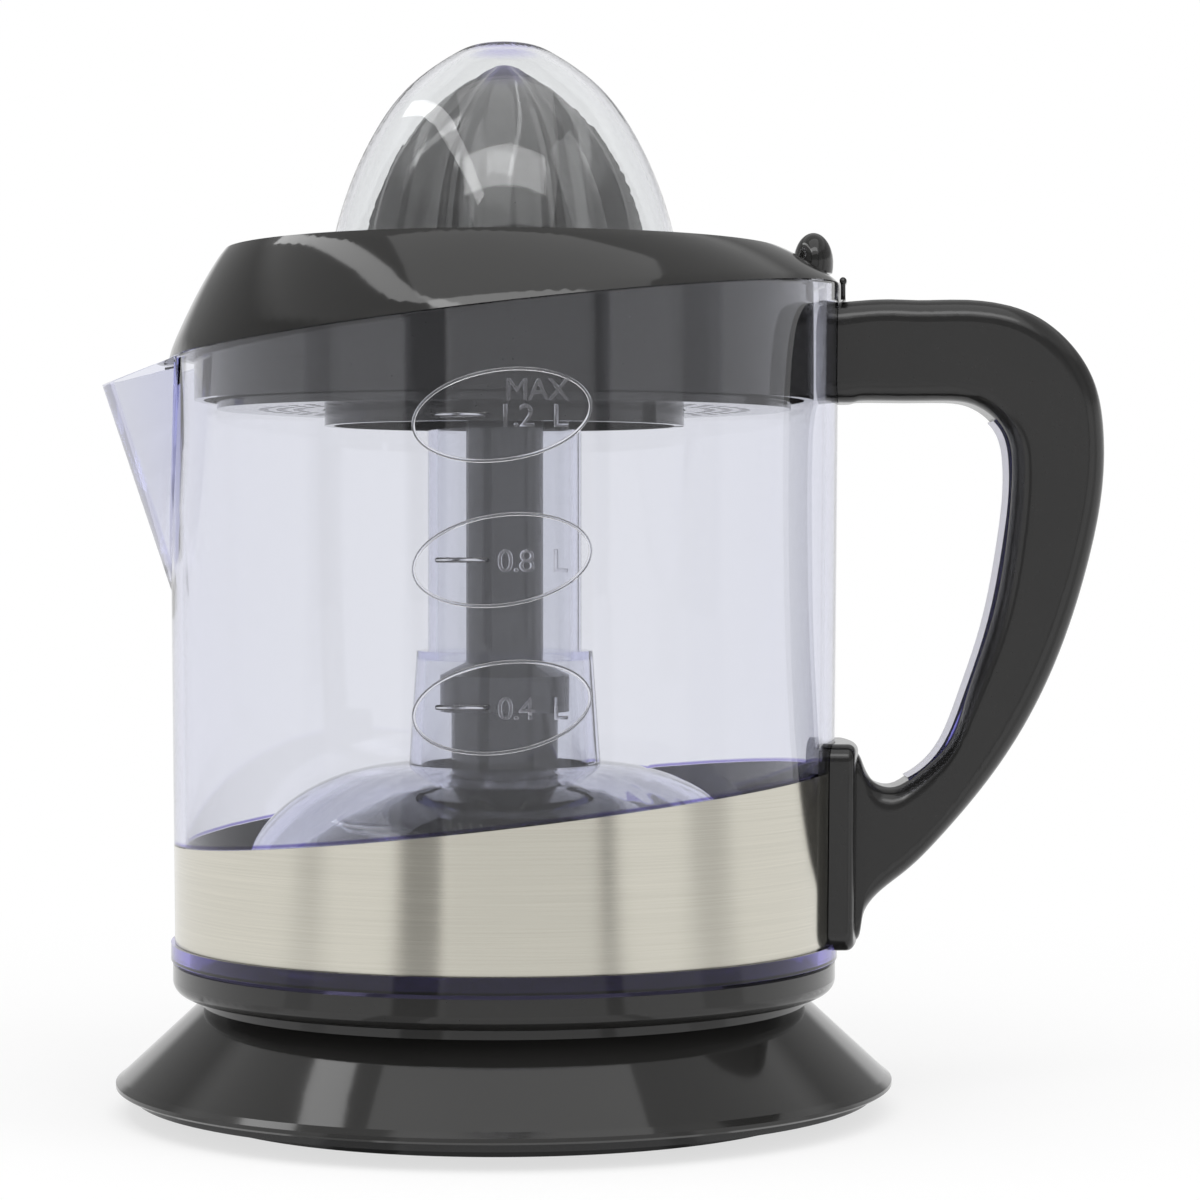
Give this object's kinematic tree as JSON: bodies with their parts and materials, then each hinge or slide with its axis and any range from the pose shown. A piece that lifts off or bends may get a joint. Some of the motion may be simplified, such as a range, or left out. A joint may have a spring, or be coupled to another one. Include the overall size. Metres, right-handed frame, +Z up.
{
  "type": "citrus press juicer",
  "caption": "Citrus juicer with a clear spouted jar on a round motor base, a ribbed reamer under a domed cover, a strainer collar and a looped side handle.",
  "frame": {"origin": "centre of the base on the table", "axes": "+Z up along the reamer's axis, +X towards the handle, the spout at -X"},
  "size_m": [0.2144, 0.1662, 0.2282],
  "materials": {
    "charcoal_gloss": "gloss, charcoal black",
    "reamer_charcoal": "gloss, charcoal black",
    "strainer_charcoal": "gloss, charcoal black",
    "shaft_grey": "satin, dark grey",
    "jar_clear": "clear, violet tint",
    "cover_clear": "clear, faint violet tint",
    "brushed_band": "brushed around",
    "base_satin": "satin",
    "foot_rubber": "matt",
    "steel": "turned",
    "zinc_plate": "zinc plated",
    "gear_nylon": "natural nylon",
    "pinion_brass": "turned",
    "copper_wire": "enamelled",
    "ferrite": "sintered",
    "bobbin_white": "moulded",
    "switch_black": "moulded"
  },
  "bodies": {
    "base": {"base_plate": "base_satin", "rubber_feet": "foot_rubber", "base_skirt": "charcoal_gloss", "cord_gland": "foot_rubber", "motor_housing": "charcoal_gloss", "base_screws": "steel", "plate_screws": "steel", "gear_plate": "zinc_plate", "gear_cover": "zinc_plate", "gear_pin": "steel", "motor_can": "zinc_plate", "motor_lid": "zinc_plate", "coil_bobbin": "bobbin_white", "coil_winding": "copper_wire", "stator_claws": "steel", "spindle_bush": "pinion_brass", "shaft_seal": "foot_rubber", "start_switch": "switch_black"},
    "output_gear": {"output_gear": "gear_nylon"},
    "second_gear": {"second_gear": "gear_nylon"},
    "rotor": {"motor_pinion": "pinion_brass", "rotor_magnet": "ferrite", "rotor_hub": "gear_nylon", "rotor_shaft": "steel"},
    "drive": {"spindle": "steel", "spindle_clip": "steel", "spring_collar": "steel", "return_spring": "steel", "drive_shaft": "shaft_grey"},
    "switch_plunger": {"switch_plunger": "switch_black"},
    "jar": {"jar": "jar_clear", "steel_band": "brushed_band", "handle": "charcoal_gloss", "handle_spine": "jar_clear"},
    "strainer": {"collar": "charcoal_gloss", "filter_disc": "strainer_charcoal"},
    "cone_seat": {"cone_seat": "charcoal_gloss"},
    "thrust_washer": {"thrust_washer": "gear_nylon"},
    "reamer": {"reamer": "reamer_charcoal"},
    "dust_cover": {"dust_cover": "cover_clear"}
  },
  "joints": [
    {"name": "jar_lift", "type": "slide", "parent": "base", "child": "jar", "axis": [0, 0, 1], "range_m": [0, 0.146]},
    {"name": "strainer_lift", "type": "slide", "parent": "jar", "child": "strainer", "axis": [0, 0, 1], "range_m": [0, 0.036]},
    {"name": "reamer_lift", "type": "slide", "parent": "strainer", "child": "cone_seat", "axis": [0, 0, 1], "range_m": [0, 0.044]},
    {"name": "cover_lift", "type": "slide", "parent": "cone_seat", "child": "dust_cover", "axis": [0, 0, 1], "range_m": [0, 0.078]},
    {"name": "output_spin", "type": "hinge", "parent": "base", "child": "output_gear", "pos_m": [0, 0, 0], "axis": [0, 0, 1], "continuous": true},
    {"name": "spindle_press", "type": "slide", "parent": "output_gear", "child": "drive", "axis": [0, 0, -1], "range_m": [0, 0.0025], "stiffness_N_per_m": 2000, "springref_m": -0.002, "deforming": ["return_spring"]},
    {"name": "reamer_press", "type": "slide", "parent": "cone_seat", "child": "thrust_washer", "axis": [0, 0, -1], "range_m": [0, 0.0025]},
    {"name": "reamer_spin", "type": "hinge", "parent": "thrust_washer", "child": "reamer", "pos_m": [0, 0, 0], "axis": [0, 0, 1], "continuous": true},
    {"name": "plunger_travel", "type": "slide", "parent": "base", "child": "switch_plunger", "axis": [0, 0, -1], "range_m": [0, 0.0025]},
    {"name": "second_gear_spin", "type": "hinge", "parent": "base", "child": "second_gear", "pos_m": [-0.02206, 0.01958, 0], "axis": [0, 0, 1], "continuous": true},
    {"name": "rotor_spin", "type": "hinge", "parent": "base", "child": "rotor", "pos_m": [-0.0345, 0, 0], "axis": [0, 0, 1], "continuous": true}
  ],
  "couplings": [
    {"joint": "reamer_spin", "follows": "output_spin", "ratio": 1},
    {"joint": "second_gear_spin", "follows": "output_spin", "ratio": -3.2143},
    {"joint": "rotor_spin", "follows": "output_spin", "ratio": 10.102},
    {"joint": "reamer_press", "follows": "spindle_press", "ratio": 1},
    {"joint": "plunger_travel", "follows": "spindle_press", "ratio": 1}
  ]
}
